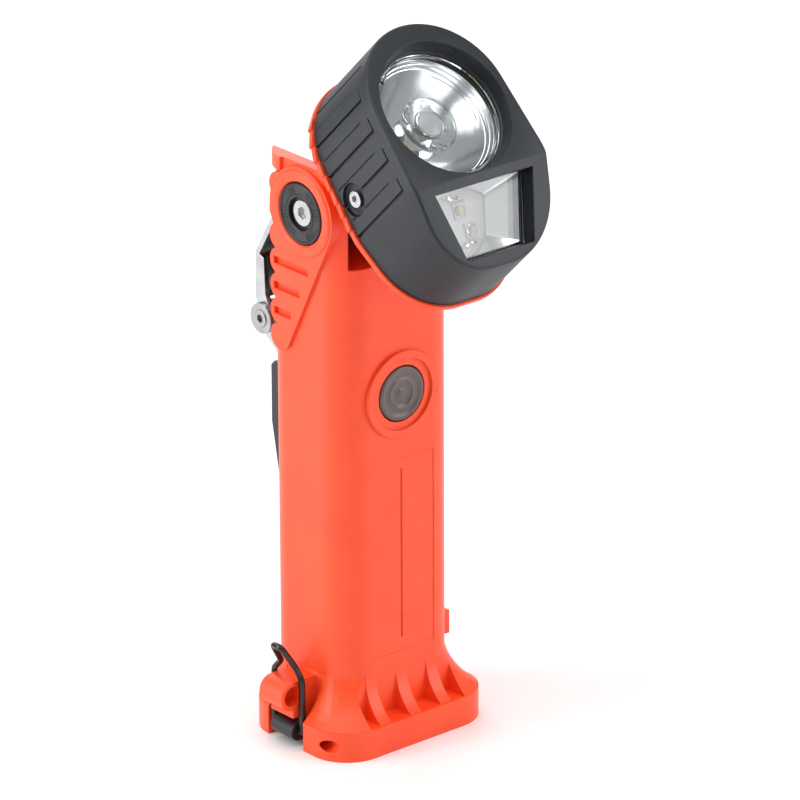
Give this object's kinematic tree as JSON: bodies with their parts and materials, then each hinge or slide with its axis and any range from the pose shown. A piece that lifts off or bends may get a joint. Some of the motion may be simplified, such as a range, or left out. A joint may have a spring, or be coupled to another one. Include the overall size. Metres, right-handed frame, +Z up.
{
  "type": "right-angle firefighter flashlight with pivoting head",
  "caption": "Right-angle battery hand light with a flared base, rear belt clip, front push button and a head that pivots from forward to straight up.",
  "frame": {"origin": "middle of the underside of the base, on the handle's axis", "axes": "+Z up the handle, -Y the front with the button and the beam, +X the bearer's left when the front faces away"},
  "size_m": [0.0624, 0.0894, 0.2096],
  "materials": {
    "nylon_orange": "moulded fire-orange nylon, fine satin grain",
    "nylon_black": "moulded black nylon, fine satin grain",
    "plastic_dark": "satin dark plastic",
    "button_grey": "smoky translucent cap",
    "rubber_black": "soft black rubber",
    "steel_bright": "bright stainless steel",
    "steel_plated": "polished plated spring steel",
    "wire_black": "gloss black coated wire",
    "clear_lens": "clear polycarbonate",
    "mirror_bowl": "vacuum-metallised reflector",
    "led_yellow": "phosphor LED",
    "board_white": "white solder mask",
    "board_green": "green solder mask",
    "aluminium": "plain machined",
    "cell_wrap": "plain dark sleeve on an AA cell",
    "brass_plate": "plated contact strip",
    "wire_red": "insulated lead"
  },
  "bodies": {
    "handle": {"body_shell": "nylon_orange", "battery_door": "nylon_black", "door_gasket": "rubber_black", "cell_carrier": "plastic_dark", "battery_cells": "cell_wrap", "contact_springs": "steel_bright", "contact_plates": "brass_plate", "switch_board": "board_green", "tact_switch": "steel_bright", "button_boot": "rubber_black", "pivot_bush_left": "nylon_black", "pivot_bush_right": "nylon_black", "pivot_screws": "steel_bright", "clip_bracket": "nylon_black", "bracket_screws": "steel_bright", "clip_pin": "steel_bright", "clip_washers": "steel_bright", "clip_spring": "steel_bright", "driver_board": "board_green"},
    "head": {"head_housing": "nylon_orange", "neck": "nylon_black", "bezel": "nylon_black", "bezel_screws": "steel_bright", "lens_gasket": "rubber_black", "spot_lens": "clear_lens", "spot_reflector": "mirror_bowl", "spot_led": "led_yellow", "spot_board": "board_white", "heat_sink": "aluminium", "flood_window": "clear_lens", "flood_reflector": "mirror_bowl", "flood_leds": "led_yellow", "flood_board": "board_white", "lead_wires": "wire_red"},
    "button": {"power_button": "button_grey"},
    "clip": {"clip_lever": "steel_plated", "clip_pad": "rubber_black"},
    "bail": {"latch_bail": "wire_black"}
  },
  "joints": [
    {"name": "head_pivot", "type": "hinge", "parent": "handle", "child": "head", "pos_m": [0, -0.001, 0.1574], "axis": [-1, 0, 0], "range_deg": [-45, 45]},
    {"name": "button_press", "type": "slide", "parent": "handle", "child": "button", "axis": [0, 1, 0], "range_m": [0, 0.0012], "stiffness_N_per_m": 900, "springref_m": -0.0006},
    {"name": "clip_hinge", "type": "hinge", "parent": "handle", "child": "clip", "pos_m": [0, 0.0255, 0.117], "axis": [1, 0, 0], "range_deg": [0, 5], "stiffness_Nm_per_rad": 1.5, "springref_deg": -8.59},
    {"name": "bail_hinge", "type": "hinge", "parent": "handle", "child": "bail", "pos_m": [-0.0274, 0, 0.0046], "axis": [0, -1, 0], "range_deg": [0, 85]}
  ]
}
